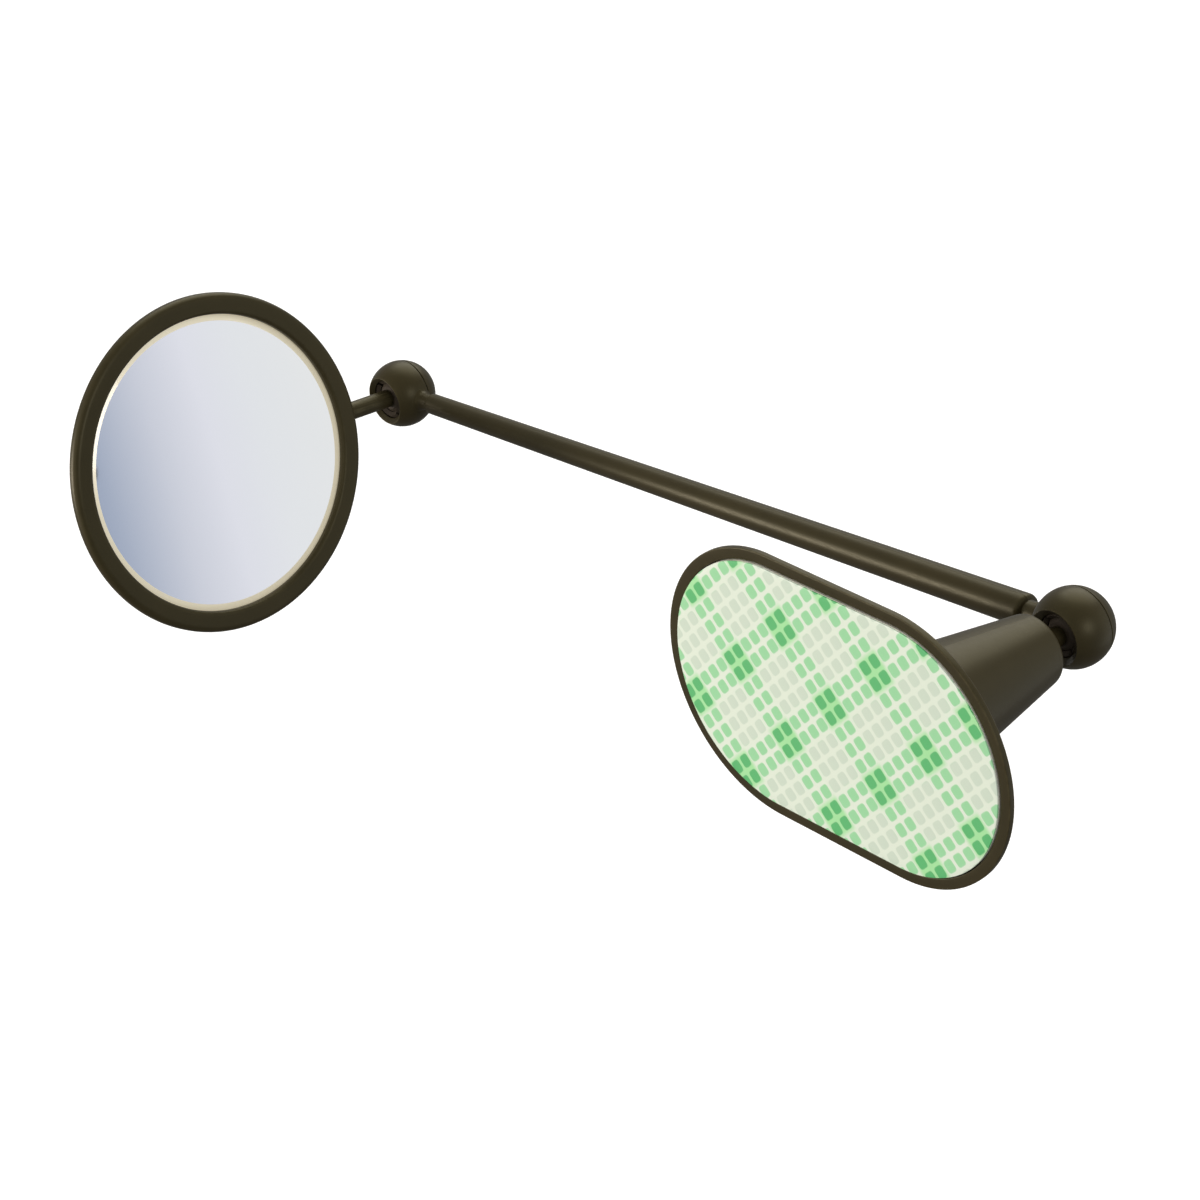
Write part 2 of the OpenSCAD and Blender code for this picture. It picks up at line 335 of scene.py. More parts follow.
@dataclass(frozen=True)
class MouldedPlastic(Finish):
    """Injection-moulded nylon with a satin skin and a fine spark-eroded grain.

    It gives the eye a dark olive brown, broad soft highlights, a faint cloudiness where the melt
    cooled unevenly, and convex edges painted paler in patches: partly rubbed by handling, partly a
    painted highlight where the edges catch the light.
    """

    deep: str = "#2b2616"
    warm: str = "#3e3621"
    worn_and_lit: str = "#575038"
    roughness: float = 0.38
    gloss: float = 0.36
    sheen: str = "#d2caa4"
    cloud_mm: float = 9.0
    # Spark-eroded grain is nearer 0.05 mm, which is too fine to show, so it is drawn coarser.
    grain_mm: float = 0.22
    grain_height_mm: float = 0.006
    scratch_mm: float = 0.12
    rub_mm: float = 1.3

    def surface(self, tree: Tree, place: Socket) -> dict:
        """Give the satin plastic its grain, its scratches and its paler edges of rubbing and painted
        highlight.
        """
        cloud = noise(tree, place, self.cloud_mm, 4.0, 0.6)
        tone = blend(tree, cloud, self.deep, self.warm)
        # Convex edges are painted paler in patches: partly rubbed by handling, partly a painted
        # highlight where they catch the light.
        edge = add(tree, "ShaderNodeAttribute", {}, attribute_name="edge_wear_and_highlight").outputs["Fac"]
        patchy = remap(tree, noise(tree, place, self.rub_mm, 6.0, 0.7), (0.35, 0.75), (0.0, 0.75))
        colour = blend(tree, maths(tree, "MULTIPLY", edge, patchy), tone, self.worn_and_lit)
        stretched = mapped(tree, place, Scale=(0.06, 1.0, 1.0))
        scratches = noise(tree, stretched, self.scratch_mm, 3.0, 0.8)
        dulled = (self.roughness - 0.05, self.roughness + 0.1)
        grain = noise(tree, place, self.grain_mm, 2.0)
        return {
            "Base Color": colour,
            "Roughness": remap(tree, scratches, (0.3, 0.8), dulled),
            "Normal": raised(tree, grain, 0.55, self.grain_height_mm),
            "IOR": 1.53,
            "Specular IOR Level": self.gloss,
            "Specular Tint": linear(self.sheen),
        }


@dataclass(frozen=True)
class BearingNylon(Finish):
    """Brown self-lubricating nylon of the balls and cups: dull, with a burnished bloom."""

    dark: str = "#3a3228"
    bloom: str = "#4e453a"
    roughness: float = 0.62
    gloss: float = 0.18
    bloom_mm: float = 1.1

    def surface(self, tree: Tree, place: Socket) -> dict:
        """Give the dull nylon its bloom."""
        bloom = noise(tree, place, self.bloom_mm, 5.0)
        return {
            "Base Color": blend(tree, bloom, self.dark, self.bloom),
            "Roughness": self.roughness,
            "Specular IOR Level": self.gloss,
            "Normal": raised(tree, bloom, 0.3, 0.004),
        }


@dataclass(frozen=True)
class PlatedSteel(Finish):
    """Bright zinc on turned steel: cool grey metal with fine tool rings and a patchy lustre."""

    bright: str = "#c9ccd0"
    dull: str = "#9fa4aa"
    roughness: float = 0.26
    ring_mm: float = 0.12
    patch_mm: float = 0.8

    def surface(self, tree: Tree, place: Socket) -> dict:
        """Give the plated metal its tool rings and its lustre."""
        patch = noise(tree, place, self.patch_mm, 4.0)
        rings = add(
            tree,
            "ShaderNodeTexWave",
            {"Vector": place, "Scale": per_metre(self.ring_mm) / FULL_TURN, "Distortion": 0.6},
            wave_type="BANDS",
            bands_direction="Y",
        )
        lustre = (self.roughness - 0.06, self.roughness + 0.12)
        return {
            "Base Color": blend(tree, patch, self.dull, self.bright),
            "Metallic": 1.0,
            "Roughness": remap(tree, patch, (0.0, 1.0), lustre),
            "Normal": raised(tree, rings.outputs["Fac"], 0.25, 0.004),
        }


@dataclass(frozen=True)
class SilveredGlass(Finish):
    """Silver behind float glass: a clean reflection, a cool cast, and a trace of wiped haze."""

    silver: str = "#f5f4f4"
    haze: str = "#eeeff1"
    roughness: float = 0.02
    haze_mm: float = 14.0

    def surface(self, tree: Tree, place: Socket) -> dict:
        """Give the mirror its wiped haze."""
        wiped = mapped(tree, place, Rotation=(0.5, 0.2, 0.0), Scale=(1.0, 1.0, 0.25))
        haze = noise(tree, wiped, self.haze_mm, 5.0)
        smear = (self.roughness, self.roughness + 0.05)
        return {
            "Base Color": blend(tree, haze, self.silver, self.haze),
            "Metallic": 1.0,
            "Roughness": remap(tree, haze, (0.4, 0.8), smear),
        }


@dataclass(frozen=True)
class GroundBevel(Finish):
    """The glass's ground and polished bevel: a pale creamy strip with fine grinding lines.

    A painted glow, standing in for light that the glass carries to its edge, makes the strip a little
    brighter than its colour.
    """

    cream: str = "#efe4c4"
    pale: str = "#fdf6e0"
    roughness: float = 0.3
    line_mm: float = 0.25
    painted_edge_glow: float = 0.34

    def surface(self, tree: Tree, place: Socket) -> dict:
        """Give the ground edge its fine lines and its painted glow."""
        lines = noise(tree, place, self.line_mm, 3.0)
        return {
            "Base Color": blend(tree, lines, self.cream, self.pale),
            "Metallic": 0.15,
            "Roughness": self.roughness,
            "Normal": raised(tree, lines, 0.3, 0.004),
            "Coat Weight": 0.6,
            "Coat Roughness": 0.05,
            # Painted light: the strip glows to stand in for light carried through the glass to its edge.
            "Emission Color": linear(self.cream),
            "Emission Strength": self.painted_edge_glow,
        }


@dataclass(frozen=True)
class AcrylicFoam(Finish):
    """Foam with closed cells: off-white and matt, with small open pores on its cut edge whose hollows
    are painted darker as shade.
    """

    face: str = "#efeddf"
    pore_shade: str = "#cfcab6"
    cell_mm: float = 0.16

    def surface(self, tree: Tree, place: Socket) -> dict:
        """Give the foam its open pores, each painted darker towards its deepest middle as shade."""
        cells = add(
            tree,
            "ShaderNodeTexVoronoi",
            {"Vector": place, "Scale": per_metre(self.cell_mm), "Randomness": 1.0},
            feature="F1",
        )
        depth = remap(tree, cells.outputs["Distance"], (0.0, 0.6))
        return {
            # Painted shade: each open pore is darker towards its middle, where it is deepest.
            "Base Color": blend(tree, depth, self.pore_shade, self.face),
            "Roughness": 0.85,
            "Normal": raised(tree, depth, 0.7, 0.03),
            "Subsurface Weight": 0.15,
            "Subsurface Radius": (0.4 * MM, 0.4 * MM, 0.3 * MM),
        }


@dataclass(frozen=True)
class PrintedLiner(Finish):
    """Silicone-glazed release paper, printed with a plain green gingham check on the bias.

    It gives the eye cream paper with a waxy sheen and small rounded green pips in rows. Two rows
    in every five are printed strong each way, so that four pips are strong where two pairs of rows
    cross, paler along one pair, and faint between, and light green is washed under the strong ones.
    """

    paper: str = "#f0fbe9"
    wash: str = "#b2f2ae"
    faint: str = "#dcebd8"
    pale: str = "#a6e6ae"
    strong: str = "#62c479"
    pip_pitch_mm: float = 1.7
    rows_per_check: float = 5.0
    pip_half: float = 0.38
    blot_mm: float = 0.5
    fibre_mm: float = 0.35
    angle_deg: float = 45.0

    def surface(self, tree: Tree, place: Socket) -> dict:
        bias = (0.0, math.radians(self.angle_deg), 0.0)
        scale = (per_metre(self.pip_pitch_mm),) * 3
        on_bias = mapped(tree, place, Rotation=bias, Scale=scale)
        axes = add(tree, "ShaderNodeSeparateXYZ", {"Vector": on_bias})
        rows = [axes.outputs[name] for name in ("X", "Z")]
        strengths = [self.row_strength(tree, row) for row in rows]
        both = maths(tree, "MULTIPLY", *strengths)
        some = maths(tree, "MAXIMUM", *strengths)
        ground = blend(tree, both, self.paper, self.wash)
        light = blend(tree, some, self.faint, self.pale)
        pips = blend(tree, remap(tree, both, (0.25, 0.75)), light, self.strong)
        mask = self.pip_mask(tree, rows, noise(tree, place, self.blot_mm, 3.0))
        fibre = noise(tree, place, self.fibre_mm, 5.0, 0.7)
        return {
            "Base Color": blend(tree, mask, ground, pips),
            "Roughness": remap(tree, fibre, (0.0, 1.0), (0.4, 0.6)),
            "Normal": raised(tree, fibre, 0.3, 0.01),
            "Coat Weight": 0.1,
            "Coat Roughness": 0.25,
        }

    def row_strength(self, tree: Tree, across: Socket) -> Socket:
        """Print two rows of each check strong: 1 where pingpong(across - 1/2, check / 2) < 1.

        The step is eased at both ends, half way between two rows.

        Args:
            tree: The material's tree.
            across: The coordinate across the rows, one unit to a row.

        Returns:
            The socket with 1 on a strong row and 0 on the rows beside it.
        """
        shifted = maths(tree, "SUBTRACT", across, 0.5)
        saw = maths(tree, "PINGPONG", shifted, self.rows_per_check / 2.0)
        return remap(tree, saw, (0.7, 1.3), (1.0, 0.0), "SMOOTHERSTEP")

    def pip_mask(self, tree: Tree, rows: Sequence[Socket], blot: Socket) -> Socket:
        """Draw the rounded squares: x to the power 4 plus z to the power 4 is under a limit.

        x and z are the distances from the nearest pip's middle, and a little noise is added to the
        sum for the ink's soft uneven edge.

        Args:
            tree: The material's tree.
            rows: The two coordinates across the rows, one unit to a row.
            blot: The noise.

        Returns:
            The socket with 1 inside a pip and 0 outside.
        """
        powers = []
        for row in rows:
            share = maths(tree, "DIVIDE", maths(tree, "PINGPONG", row, 0.5), self.pip_half)
            powers.append(maths(tree, "POWER", share, 4.0))
        ragged = maths(tree, "MULTIPLY_ADD", blot, 0.5, maths(tree, "ADD", *powers))
        return remap(tree, ragged, (0.8, 1.7), (1.0, 0.0), "SMOOTHSTEP")


@dataclass(frozen=True)
class StudioPaper(Finish):
    """The pale seamless paper of the studio floor, lit a little from below like a light table."""

    tone: str = "#fbfbfa"
    under_light: str = "#eef0ff"
    glow: float = 0.3

    def surface(self, tree: Tree, place: Socket) -> dict:
        """Give the matt paper its light from below."""
        return {
            "Base Color": linear(self.tone),
            "Roughness": 0.9,
            "Emission Color": linear(self.under_light),
            "Emission Strength": self.glow,
        }


# ---------------------------------------------------------------------------------------------
# Shapes
# ---------------------------------------------------------------------------------------------


@dataclass(frozen=True)
class Placement:
    """A local frame: shapes are built about its z axis and then put in place.

    Args:
        origin: The frame's origin in the model, in metres.
        axes: Its x, y and z directions as the rows of a 3 by 3 array.
    """

    origin: Array
    axes: Array

    @classmethod
    def along(cls, origin: Sequence[float], z: Sequence[float], x: Sequence[float]) -> Placement:
        """Make a frame from its z axis and a hint for x.

        x loses its part along z and is made unit length, and y is z cross x.

        Args:
            origin: The frame's origin.
            z: The direction of its z axis.
            x: A direction that x should lie near.

        Returns:
            The frame.
        """
        up = np.asarray(z, float)
        up = up / np.linalg.norm(up)
        side = np.asarray(x, float)
        side = side - up * (side @ up)
        side = side / np.linalg.norm(side)
        return cls(np.asarray(origin, float), np.array([side, np.cross(up, side), up]))

    def place(self, points: Array) -> Array:
        """Put local points into the model: origin + x * X + y * Y + z * Z."""
        return self.origin + points @ self.axes

    def local(self, points: Array) -> Array:
        """Bring points of the model into this frame."""
        return (points - self.origin) @ self.axes.T


@dataclass(frozen=True)
class Profile:
    """A section for turning: radius and height of each point, and how strongly its edge is painted
    paler, as rubbing and as a painted highlight.
    """

    points: Array
    edge: Array
    closed: bool

    @classmethod
    def soft(
        cls, corners: Sequence[Point], softness: float, closed: bool = False, fine: float = 1.0
    ) -> Profile:
        """Round off the corners of a polyline and space its points where it bends.

        The polyline is sampled evenly by arc length and each coordinate is averaged with a bell
        curve softness wide, which rounds the corners and leaves straight and gently curved
        stretches where they are. Points are then spaced by equal steps of a cost that adds the
        length, over 0.9 mm, to the angle turned, over 9 degrees.

        Args:
            corners: Radius and height of each corner, in millimetres.
            softness: The width of the bell curve, in millimetres.
            closed: Whether the last corner joins the first.
            fine: How many times closer than usual the points are.

        Returns:
            The profile, in metres.
        """
        line = np.asarray(corners, float)
        if closed:
            line = np.vstack([line, line[:1]])
        lengths = np.hypot(*np.diff(line, axis=0).T)
        keep = np.concatenate([[True], lengths > 1e-9])
        line = line[keep]
        along = np.concatenate([[0.0], np.cumsum(np.hypot(*np.diff(line, axis=0).T))])
        count = max(64, int(along[-1] / (softness / 6.0)))
        stations = np.linspace(0.0, along[-1], count + 1)
        dense = np.column_stack([np.interp(stations, along, line[:, k]) for k in (0, 1)])
        step = along[-1] / count
        half = int(math.ceil(2.5 * softness / step))
        bell = np.exp(-0.5 * (np.arange(-half, half + 1) * step / (0.5 * softness)) ** 2)
        bell /= bell.sum()
        if closed:
            padded = np.vstack([dense[-half - 1 : -1], dense, dense[1 : half + 1]])
        else:
            before = 2.0 * dense[0] - dense[half:0:-1]
            after = 2.0 * dense[-1] - dense[-2 : -half - 2 : -1]
            padded = np.vstack([before, dense, after])
        smooth = np.column_stack([np.convolve(padded[:, k], bell, "valid") for k in (0, 1)])
        heading = np.unwrap(np.arctan2(*np.gradient(smooth, axis=0).T[::-1]))
        turn = np.gradient(heading)
        cost = step / POINT_GAP_MM + np.abs(turn) / POINT_TURN
        spent = np.concatenate([[0.0], np.cumsum(0.5 * (cost[1:] + cost[:-1]))])
        total = max(8, int(spent[-1] * fine))
        picks = np.linspace(0.0, spent[-1], total + 1)
        if closed:
            picks = picks[:-1]
        points = np.column_stack([np.interp(picks, spent, smooth[:, k]) for k in (0, 1)])
        bend = np.interp(picks, spent, turn / step)
        area = 0.5 * np.sum(smooth[:-1, 0] * smooth[1:, 1] - smooth[1:, 0] * smooth[:-1, 1])
        outward = np.sign(area) if area else 1.0
        # Convex bends are weighted for the plastic's paler edges: rubbing and a painted highlight.
        edge = np.clip(outward * bend * softness / 1.2, 0.0, 1.0)
        return cls(points * MM, edge, closed)


def arc(centre: Point, radius: float, start: float, end: float, count: int = 24) -> list[Point]:
    """List points along an arc: centre + radius * (cos a, sin a) for a from start to end.

    Args:
        centre: The arc's centre.
        radius: Its radius.
        start: The first angle, in degrees.
        end: The last angle, in degrees.
        count: How many steps there are.

    Returns:
        The points, both ends included.
    """
    angles = np.radians(np.linspace(start, end, count + 1))
    points = np.array(centre) + radius * np.column_stack([np.cos(angles), np.sin(angles)])
    return [(float(r), float(h)) for r, h in points]


@dataclass
class Shape:
    """A closed surface: points, faces of four or three corners, and values on them."""

    points: Array
    quads: Array
    tris: Array
    edge_wear_and_highlight: Array
    quad_bands: Array
    tri_bands: Array

    def volume(self) -> float:
        """Add up a . (b x c) / 6 over all triangles.

        Returns:
            The enclosed volume in cubic metres.
        """
        fans = np.vstack([self.tris, self.quads[:, [0, 1, 2]], self.quads[:, [0, 2, 3]]])
        a, b, c = (self.points[fans[:, k]] for k in range(3))
        return float(np.einsum("ij,ij->i", a, np.cross(b, c)).sum() / 6.0)

    def outward(self) -> Shape:
        """Turn every face round if the surface encloses a negative volume."""
        if self.volume() < 0.0:
            self.quads = self.quads[:, ::-1]
            self.tris = self.tris[:, ::-1]
        return self


def turned(
    profile: Profile,
    placement: Placement,
    angles: Array,
    reach: float = 0.0,
    relief: Callable[[Array, Array, Array], Array] | None = None,
    bands: Array | None = None,
) -> Shape:
    """Carry a profile round an axis, or round a stretch of axis for a shape with parallel sides.

    A point of radius r and height h at angle a goes to (c + r cos a, r sin a, h), where c is
    +reach for cos a above 0 and -reach below it, so that a reach of 0 is a plain turned shape.

    Args:
        profile: The section.
        placement: The frame whose z axis is the axis of turning.
        angles: The angles of the columns, in radians, without the closing one.
        reach: Half the distance between the centres of the two round ends.
        relief: A change of radius from the angle, radius and height of each point.
        bands: A material number for each step along the profile.

    Returns:
        The closed surface.
    """
    radius, height = profile.points[:, :1], profile.points[:, 1:]
    ring = angles[None, :]
    if reach:
        sides = np.array([0.5, 1.5]) * math.pi + PAST_SIDE
        ring = np.sort(np.concatenate([angles, sides]))[None, :]
    shown = radius + np.zeros_like(ring)
    if relief is not None:
        shown = shown + relief(ring + 0.0 * radius, shown, height + 0.0 * ring)
    centre = reach * np.where(np.cos(ring) >= -1e-9, 1.0, -1.0)
    grid = np.stack(
        [centre + shown * np.cos(ring), shown * np.sin(ring), height + np.zeros_like(shown)], axis=2
    )
    rows, columns = shown.shape
    steps = rows if profile.closed else rows - 1
    row = np.arange(steps)[:, None]
    column = np.arange(columns)[None, :]
    next_row, next_column = (row + 1) % rows, (column + 1) % columns
    corners = [row * columns + column, row * columns + next_column]
    corners += [next_row * columns + next_column, next_row * columns + column]
    faces = np.stack([c + 0 * row for c in corners], axis=2).reshape(-1, 4)
    kinds = np.repeat(np.zeros(steps, int) if bands is None else bands, columns)
    flat = grid.reshape(-1, 3)
    _, first, index = np.unique(
        np.round(flat / WELD_GRID).astype(np.int64), axis=0, return_index=True, return_inverse=True
    )
    faces = index.reshape(-1)[faces]
    same = faces == np.roll(faces, -1, axis=1)
    doubled = same.sum(axis=1)
    tri_faces = faces[doubled == 1]
    drop = np.argmax(same[doubled == 1], axis=1)
    order = (drop[:, None] + np.array([1, 2, 3])) % 4
    return Shape(
        points=placement.place(flat[first]),
        quads=faces[doubled == 0],
        tris=np.take_along_axis(tri_faces, order, axis=1),
        edge_wear_and_highlight=np.repeat(profile.edge, columns)[first],
        quad_bands=kinds[doubled == 0],
        tri_bands=kinds[doubled == 1],
    ).outward()


def even_angles(count: int) -> Array:
    """Return count angles evenly round a full turn."""
    return np.arange(count) * FULL_TURN / count


def seam_angles(count: int, spread: float) -> Array:
    """Return even angles with extra ones close to 0 and half a turn, where a seam runs.

    Args:
        count: The number of even angles.
        spread: The distance in radians over which the extra angles lie.

    Returns:
        The sorted angles.
    """
    close = np.linspace(-spread, spread, 15)
    extra = np.concatenate([close, close + math.pi]) % FULL_TURN
    return np.unique(np.round(np.concatenate([even_angles(count), extra]), 7))


def stadium_angles(count: int) -> Array:
    """Return even angles that include both sides of each quarter turn, for parallel sides."""
    return np.unique(np.round(np.concatenate([even_angles(count), [0.5 * math.pi, 1.5 * math.pi]]), 9))


def parting(height_mm: float, above_mm: float) -> Callable[[Array, Array, Array], Array]:
    """Make the relief of a mould's parting line, which runs at angles 0 and half a turn.

    The ridge is height * exp(-(off / width) squared) at a distance off from the line.

    Args:
        height_mm: The ridge's height.
        above_mm: The radius above which it shows.

    Returns:
        A relief that turned can take.
    """
    width = 0.1 * MM

    def relief(angle: Array, radius: Array, height: Array) -> Array:
        """Return the ridge's height at each point."""
        off = np.abs(np.sin(angle)) * radius
        return height_mm * MM * np.exp(-((off / width) ** 2)) * (radius > above_mm * MM)

    return relief


def node_points(name: str) -> Array:
    """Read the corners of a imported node's mesh.

    Args:
        name: The node's name.

    Returns:
        The corners as an n by 3 array.
    """
    mesh = bpy.data.objects[name].data
    flat = np.empty(len(mesh.vertices) * 3)
    mesh.vertices.foreach_get("co", flat)
    return flat.reshape(-1, 3)


def piece(name: str, shape: Shape, finishes: Sequence[Material]) -> Object:
    """Put a shape into a new object at the origin, smooth, with its paler-edge weight (rubbing and
    painted highlight) and its materials.

    Args:
        name: The object's name.
        shape: The surface.
        finishes: One material for each band number.

    Returns:
        The new object.
    """
    mesh = bpy.data.meshes.new(name)
    mesh.from_pydata(shape.points.tolist(), [], shape.quads.tolist() + shape.tris.tolist())
    for finish in finishes:
        mesh.materials.append(finish)
    numbers = np.concatenate([shape.quad_bands, shape.tri_bands]).astype(np.int32)
    mesh.polygons.foreach_set("material_index", numbers)
    mesh.polygons.foreach_set("use_smooth", np.ones(len(mesh.polygons), bool))
    edge_wear_and_highlight = mesh.attributes.new("edge_wear_and_highlight", "FLOAT", "POINT")
    edge_wear_and_highlight.data.foreach_set("value", shape.edge_wear_and_highlight.astype(np.float32))
    mesh.update()
    made = linked(name, mesh)
    LOG.info("%s: %d points, %d faces", name, len(mesh.vertices), len(mesh.polygons))
    return made


def fused(name: str, first: Object, second: Object) -> Object:
    """Join two closed pieces into one solid, so that no face is left inside it.

    Args:
        name: The name of the joined piece.
        first: The piece that stays.
        second: The piece that is added and then removed.

    Returns:
        The joined piece.
    """
    union = first.modifiers.new("union", "BOOLEAN")
    union.operation = "UNION"
    union.solver = "EXACT"
    union.object = second
    graph = bpy.context.evaluated_depsgraph_get()
    mesh = bpy.data.meshes.new_from_object(first.evaluated_get(graph))
    first.modifiers.clear()
    old = first.data
    first.data = mesh
    first.name = name
    mesh.name = name
    bpy.data.meshes.remove(old)
    bpy.data.objects.remove(second)
    return first


def settle(made: Object, body: Body, slot: Slot, *nodes: str) -> None:
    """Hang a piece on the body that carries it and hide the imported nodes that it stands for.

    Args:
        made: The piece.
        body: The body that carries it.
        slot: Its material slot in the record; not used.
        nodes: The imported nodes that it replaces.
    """
    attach(made, body.value)
    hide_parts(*nodes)


# ---------------------------------------------------------------------------------------------
# Sub-assemblies
# ---------------------------------------------------------------------------------------------


@dataclass
class Finishes:
    """Every material of the mirror, made once."""

    plastic: Material = field(default_factory=MouldedPlastic("moulded_nylon_satin").build)
    nylon: Material = field(default_factory=BearingNylon("self_lubricating_nylon").build)
    steel: Material = field(default_factory=PlatedSteel("zinc_plated_steel").build)
    silver: Material = field(default_factory=SilveredGlass("silvered_glass").build)
    bevel: Material = field(default_factory=GroundBevel("ground_glass_bevel").build)
    foam: Material = field(default_factory=AcrylicFoam("acrylic_foam").build)
    paper: Material = field(default_factory=PrintedLiner("printed_release_paper").build)

    def dress_frame(self, frame: dict) -> None:
        """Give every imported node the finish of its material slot.
        """
        by_slot = {
            Slot.PLASTIC.value: self.plastic,
            Slot.NYLON.value: self.nylon,
            Slot.STEEL.value: self.steel,
            Slot.GLASS.value: self.silver,
            Slot.FOAM.value: self.foam,
            Slot.PAPER.value: self.paper,
        }
        for row in frame["record"]["subparts"]:
            mesh = frame["nodes"][row["node"]].data
            mesh.materials.clear()
            mesh.materials.append(by_slot[row["material_slot"]])


@dataclass
class Pad:
    """The oval pad: the printed liner, the plate round the tape, and the conical post."""

    finishes: Finishes
    ball: Array
    columns: int = 160
    lip_softness_mm: float = 0.16
    foot_fillet_mm: float = 1.1
    tip_round_mm: float = 0.8
    neck_fillet_mm: float = 0.35
    post_tip_mm: float = 3.7
    neck_mm: float = 1.0
    neck_room_mm: float = 5.0
    plate_slope_mm: float = 1.4
    rim_height_mm: float = 0.6
    liner_crown_mm: float = 0.02

    def __post_init__(self) -> None:
        """Read the pad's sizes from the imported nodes."""
        self.liner_box = np.array(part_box("release_liner")) / MM
        self.foam_box = np.array(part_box("foam_tape")) / MM
        self.plate_box = np.array(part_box("base_plate")) / MM
        self.post_box = np.array(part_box("post")) / MM
        self.upright = Placement.along((0.0, 0.0, 0.0), (0.0, 1.0, 0.0), (1.0, 0.0, 0.0))

    def build(self) -> None:
        """Make the three pieces, hang them on their bodies and hide the nodes that they replace."""
        settle(self.liner(), Body.LINER, Slot.PAPER, "release_liner")
        settle(self.plate(), Body.BASE, Slot.PLASTIC, "base_plate")
        settle(self.post(), Body.BASE, Slot.PLASTIC, "post")

    def liner(self) -> Object:
        """Make the liner: a thin sheet with round ends whose edge is cut a little soft.

        Returns:
            The piece.
        """
        (left, low, _), (right, high, half) = self.liner_box
        crown = self.liner_crown_mm
        corners = [(0.0, low), (half, low), (half, high), (0.0, high)]
        section = Profile.soft(corners, softness=0.05, fine=0.6)

        def ripple(angle: Array, radius: Array, height: Array) -> Array:
            """Leave a shallow uneven edge, two sine waves round the outline, where it was cut."""
            wave = np.sin(7.0 * angle) + 0.6 * np.sin(17.0 * angle + 1.0)
            return -crown * MM * (1.0 + 0.5 * wave) * (radius > 0.98 * half * MM)

        reach = 0.5 * (right - left) - half
        shape = turned(
            section, self.upright, stadium_angles(self.columns), reach=reach * MM, relief=ripple
        )
        return piece("release_liner_print", shape, [self.finishes.paper])

    def plate(self) -> Object:
        """Make the plate: a tray with a rim round the tape and a back that slopes to its edge.

        Returns:
            The piece.
        """
        (left, front, _), (right, back, half) = self.plate_box
        tape_half, tape_back = self.foam_box[1][2] + 0.1, self.foam_box[1][1]
        corners = [
            (0.0, tape_back),
            (tape_half, tape_back),
            (tape_half, front),
            (half, front),
            (half, front + self.rim_height_mm),
            (half - self.plate_slope_mm, back),
            (0.0, back),
        ]
        section = Profile.soft(corners, self.lip_softness_mm, fine=1.3)
        reach = 0.5 * (right - left) - half
        shape = turned(section, self.upright, stadium_angles(self.columns), reach=reach * MM)
        return piece("pad_tray", shape, [self.finishes.plastic])

    def post(self) -> Object:
        """Make the post: a cone with a fillet at its foot, a rounded end and the joint's neck.

        Returns:
            The piece.
        """
        plate_back = self.plate_box[1][1]
        foot_radius = self.post_box[1][2]
        neck_end = self.post_box[1][1]
        tip = self.ball[1] / MM - self.neck_room_mm
        slope = math.degrees(math.atan2(foot_radius - self.post_tip_mm, tip - plate_back))
        fillet = self.foot_fillet_mm
        lean = math.tan(math.radians(slope))
        hug = foot_radius - fillet * lean
        rim = self.tip_round_mm
        neck, web = self.neck_mm, self.neck_fillet_mm
        corners = [(0.0, plate_back - 0.05), (foot_radius + 0.75 * fillet, plate_back - 0.05)]
        corners += arc((hug + fillet + 0.1, plate_back + fillet), fillet, 270.0, 180.0 - slope, 16)
        corners += arc((self.post_tip_mm - rim, tip - rim), rim, slope, 90.0, 16)
        corners += arc((neck + web, tip + web), web, 270.0, 180.0, 12)
        corners += [(neck, neck_end), (0.0, neck_end)]
        section = Profile.soft(corners, softness=0.12, fine=1.2)
        centre = (self.ball[0], 0.0, 0.0)
        upright = Placement.along(centre, (0.0, 1.0, 0.0), (0.0, 0.0, 1.0))
        shape = turned(section, upright, seam_angles(128, 0.09), relief=parting(0.02, 1.5))
        return piece("post_cone", shape, [self.finishes.plastic])


